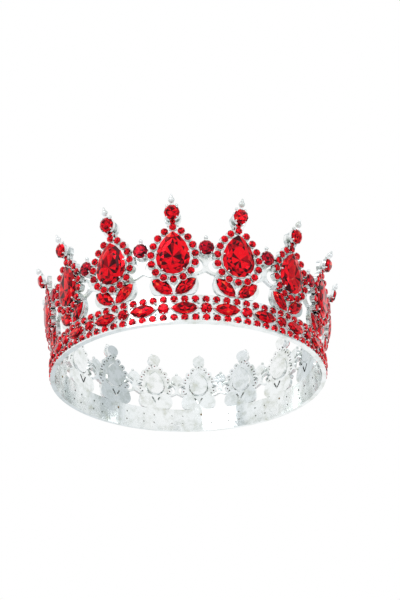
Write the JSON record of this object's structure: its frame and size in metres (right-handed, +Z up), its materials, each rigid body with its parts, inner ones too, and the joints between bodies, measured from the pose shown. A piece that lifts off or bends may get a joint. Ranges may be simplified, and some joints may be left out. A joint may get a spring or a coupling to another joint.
{
  "type": "crown",
  "caption": "Full-round silver-plated queen crown set with red faceted glass stones, pear-shaped drops over a jewelled band",
  "frame": {"origin": "Centre of the plane that the rim stands on, on the crown's axis.", "axes": "+Z up the crown's axis from the rim to the top stones, -Y out through the front pear unit, +X to the viewer's right when looking at the front."},
  "size_m": [0.1496, 0.1496, 0.0517],
  "materials": {
    "gallery_metal": "bright silver plate over a pierced zinc casting",
    "pear_casting_metal": "bright silver plate over a zinc casting",
    "pear_glass": "foil-backed faceted red glass",
    "small_glass": "foil-backed faceted red glass",
    "top_glass": "foil-backed faceted red glass",
    "bridge_glass": "foil-backed faceted darker red glass",
    "navette_glass": "foil-backed faceted red glass",
    "solder": "dull discoloured solder"
  },
  "bodies": {
    "root": {"gallery_panel_1": "gallery_metal", "gallery_panel_2": "gallery_metal", "gallery_panel_3": "gallery_metal", "gallery_panel_4": "gallery_metal", "gallery_panel_5": "gallery_metal", "gallery_panel_6": "gallery_metal", "gallery_panel_7": "gallery_metal", "gallery_panel_8": "gallery_metal", "spire_casting_01": "pear_casting_metal", "spire_casting_02": "pear_casting_metal", "spire_casting_03": "pear_casting_metal", "spire_casting_04": "pear_casting_metal", "spire_casting_05": "pear_casting_metal", "spire_casting_06": "pear_casting_metal", "spire_casting_07": "pear_casting_metal", "spire_casting_08": "pear_casting_metal", "spire_casting_09": "pear_casting_metal", "spire_casting_10": "pear_casting_metal", "spire_casting_11": "pear_casting_metal", "spire_casting_12": "pear_casting_metal", "spire_casting_13": "pear_casting_metal", "spire_casting_14": "pear_casting_metal", "spire_casting_15": "pear_casting_metal", "spire_casting_16": "pear_casting_metal", "pear_stone_01": "pear_glass", "pear_stone_02": "pear_glass", "pear_stone_03": "pear_glass", "pear_stone_04": "pear_glass", "pear_stone_05": "pear_glass", "pear_stone_06": "pear_glass", "pear_stone_07": "pear_glass", "pear_stone_08": "pear_glass", "pear_stone_09": "pear_glass", "pear_stone_10": "pear_glass", "pear_stone_11": "pear_glass", "pear_stone_12": "pear_glass", "pear_stone_13": "pear_glass", "pear_stone_14": "pear_glass", "pear_stone_15": "pear_glass", "pear_stone_16": "pear_glass", "halo_stones": "small_glass", "neck_stones": "small_glass", "top_stones": "top_glass", "bridge_stones": "bridge_glass", "leaf_navettes": "navette_glass", "band_navettes": "navette_glass", "band_round_stones": "small_glass", "lower_row_stones": "small_glass", "upper_row_stones": "small_glass", "seam_solder": "solder"}
  },
  "joints": []
}
